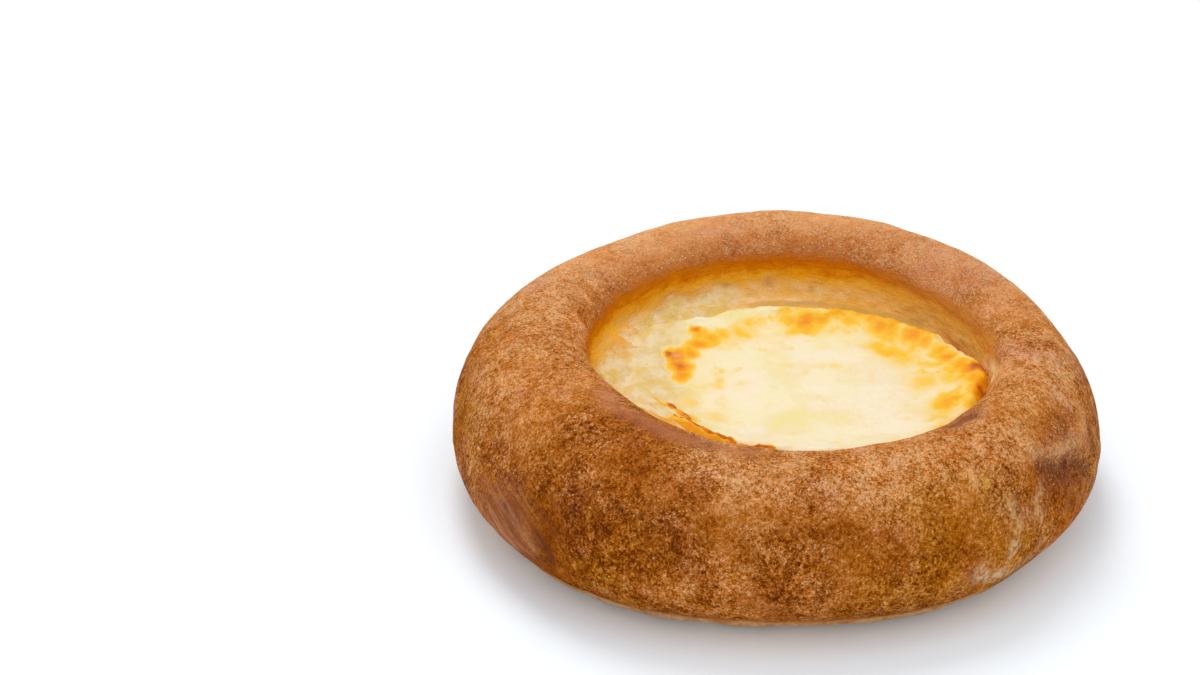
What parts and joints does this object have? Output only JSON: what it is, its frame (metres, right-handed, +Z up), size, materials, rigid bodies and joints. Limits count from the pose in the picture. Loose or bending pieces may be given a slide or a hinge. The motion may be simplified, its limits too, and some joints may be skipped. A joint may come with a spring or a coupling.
{
  "type": "vatrushka",
  "caption": "Round open bun of yeast dough: a thick browned ring with a flat base, and a baked curd filling in the hollow it was pressed round",
  "frame": {"origin": "centre of the flat base, under the middle of the bun's outline", "axes": "+Z up out of the open side; +X to the right and +Y to the far side as the picture shows it"},
  "size_m": [0.1136, 0.1104, 0.0314],
  "materials": {
    "dough": "browned yeast-dough crust, matt with a faint sheen, paler toward the filling",
    "curd": "baked curd skin, ivory, orange and brown along its edge"
  },
  "bodies": {
    "root": {"dough_ring": "dough", "curd_filling": "curd"}
  },
  "joints": []
}
